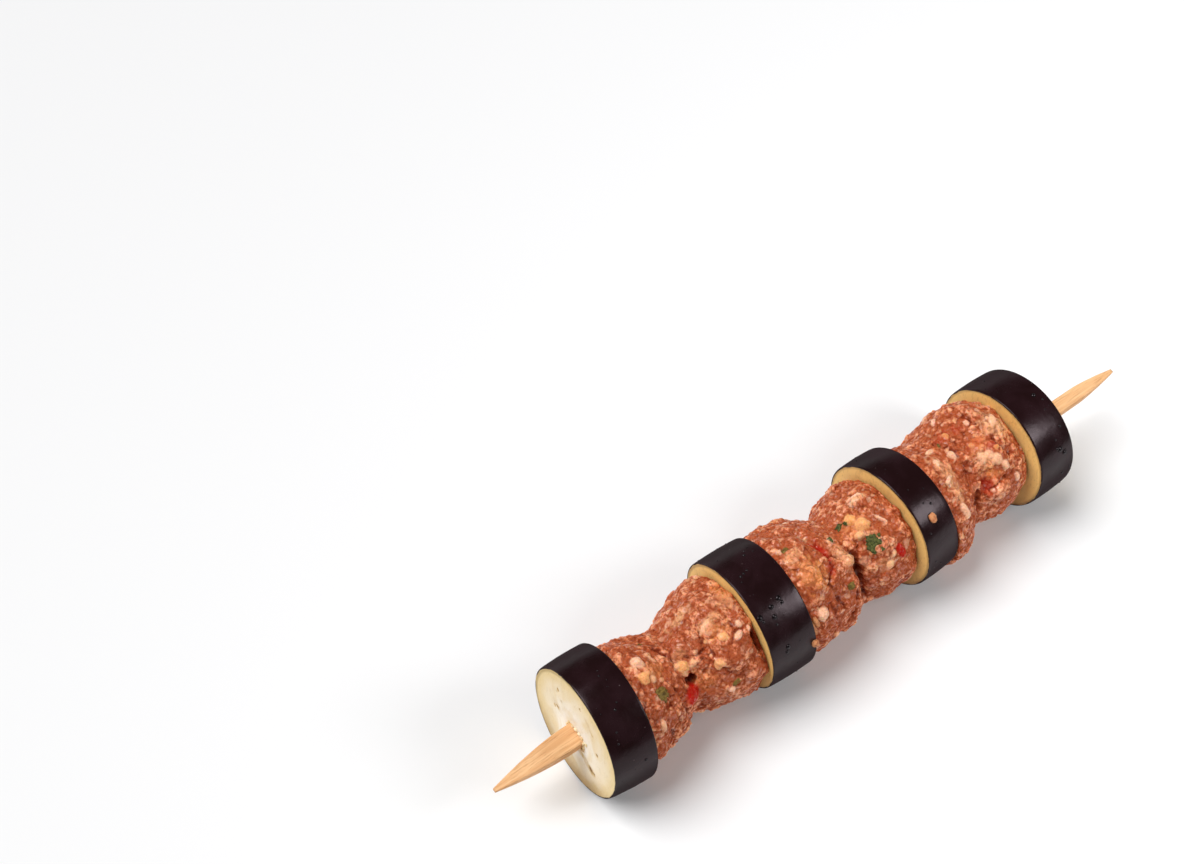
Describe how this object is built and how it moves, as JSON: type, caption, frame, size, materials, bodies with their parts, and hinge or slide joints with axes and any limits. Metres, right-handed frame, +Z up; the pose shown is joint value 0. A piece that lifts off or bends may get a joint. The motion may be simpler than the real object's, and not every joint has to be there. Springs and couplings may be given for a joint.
{
  "type": "lamb kebab skewer",
  "caption": "Raw lamb mince lumps pinched between thick aubergine rounds on a flat wooden skewer, lying on its side ready to grill.",
  "frame": {"origin": "on the surface that the kebab lies on, under the centre of its bounding box", "axes": "+X along the skewer from its broad end to its narrow end, +Y across it, +Z up"},
  "size_m": [0.25, 0.0447, 0.0426],
  "materials": {
    "wood": "dry, fine grained",
    "aubergine": "glossy dark skin, matt cream cut faces",
    "lamb_mince": "moist, granular"
  },
  "bodies": {
    "root": {"wooden_skewer": "wood", "aubergine_slice_1": "aubergine", "aubergine_slice_2": "aubergine", "aubergine_slice_3": "aubergine", "aubergine_slice_4": "aubergine", "lamb_mince_1": "lamb_mince", "lamb_mince_2": "lamb_mince", "lamb_mince_3": "lamb_mince"}
  },
  "joints": []
}
